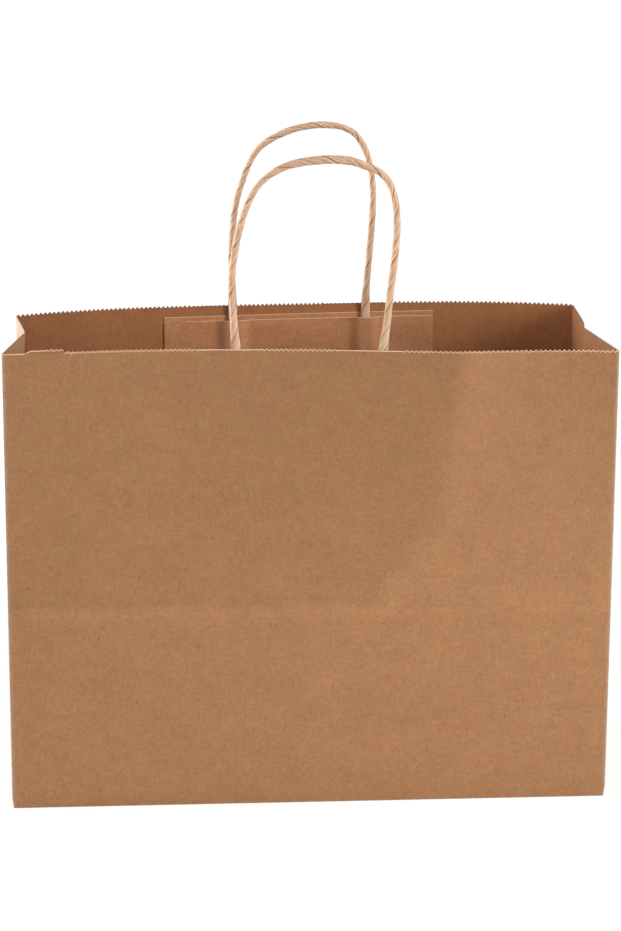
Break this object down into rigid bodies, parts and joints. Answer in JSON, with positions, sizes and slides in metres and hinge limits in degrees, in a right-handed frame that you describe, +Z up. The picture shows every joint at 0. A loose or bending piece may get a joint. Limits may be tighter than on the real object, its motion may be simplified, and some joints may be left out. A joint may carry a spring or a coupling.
{
  "type": "paper gift bag",
  "caption": "Open-top kraft paper gift bag with folded side gussets, a saw-cut rim, a flat folded base and twisted paper cord handles.",
  "frame": {"origin": "middle of the underside, on the face of the lowest base flap that rests on the floor", "axes": "+Z up through the open mouth, +Y from the front panel to the rear panel, +X to the right seen from the front"},
  "size_m": [0.4064, 0.1811, 0.4453],
  "materials": {
    "kraft_paper": "unbleached brown kraft, matt, with fine mottling and dark flecks",
    "strip_paper": "matt brown kraft strips glued inside the panels",
    "cord_paper": "lighter tan paper twisted into cord, with slanted fibre lines"
  },
  "bodies": {
    "root": {"bag_body": "kraft_paper", "front_backing_strip": "strip_paper", "front_cover_strip": "strip_paper", "front_handle": "cord_paper", "rear_backing_strip": "strip_paper", "rear_cover_strip": "strip_paper", "rear_handle": "cord_paper"}
  },
  "joints": []
}
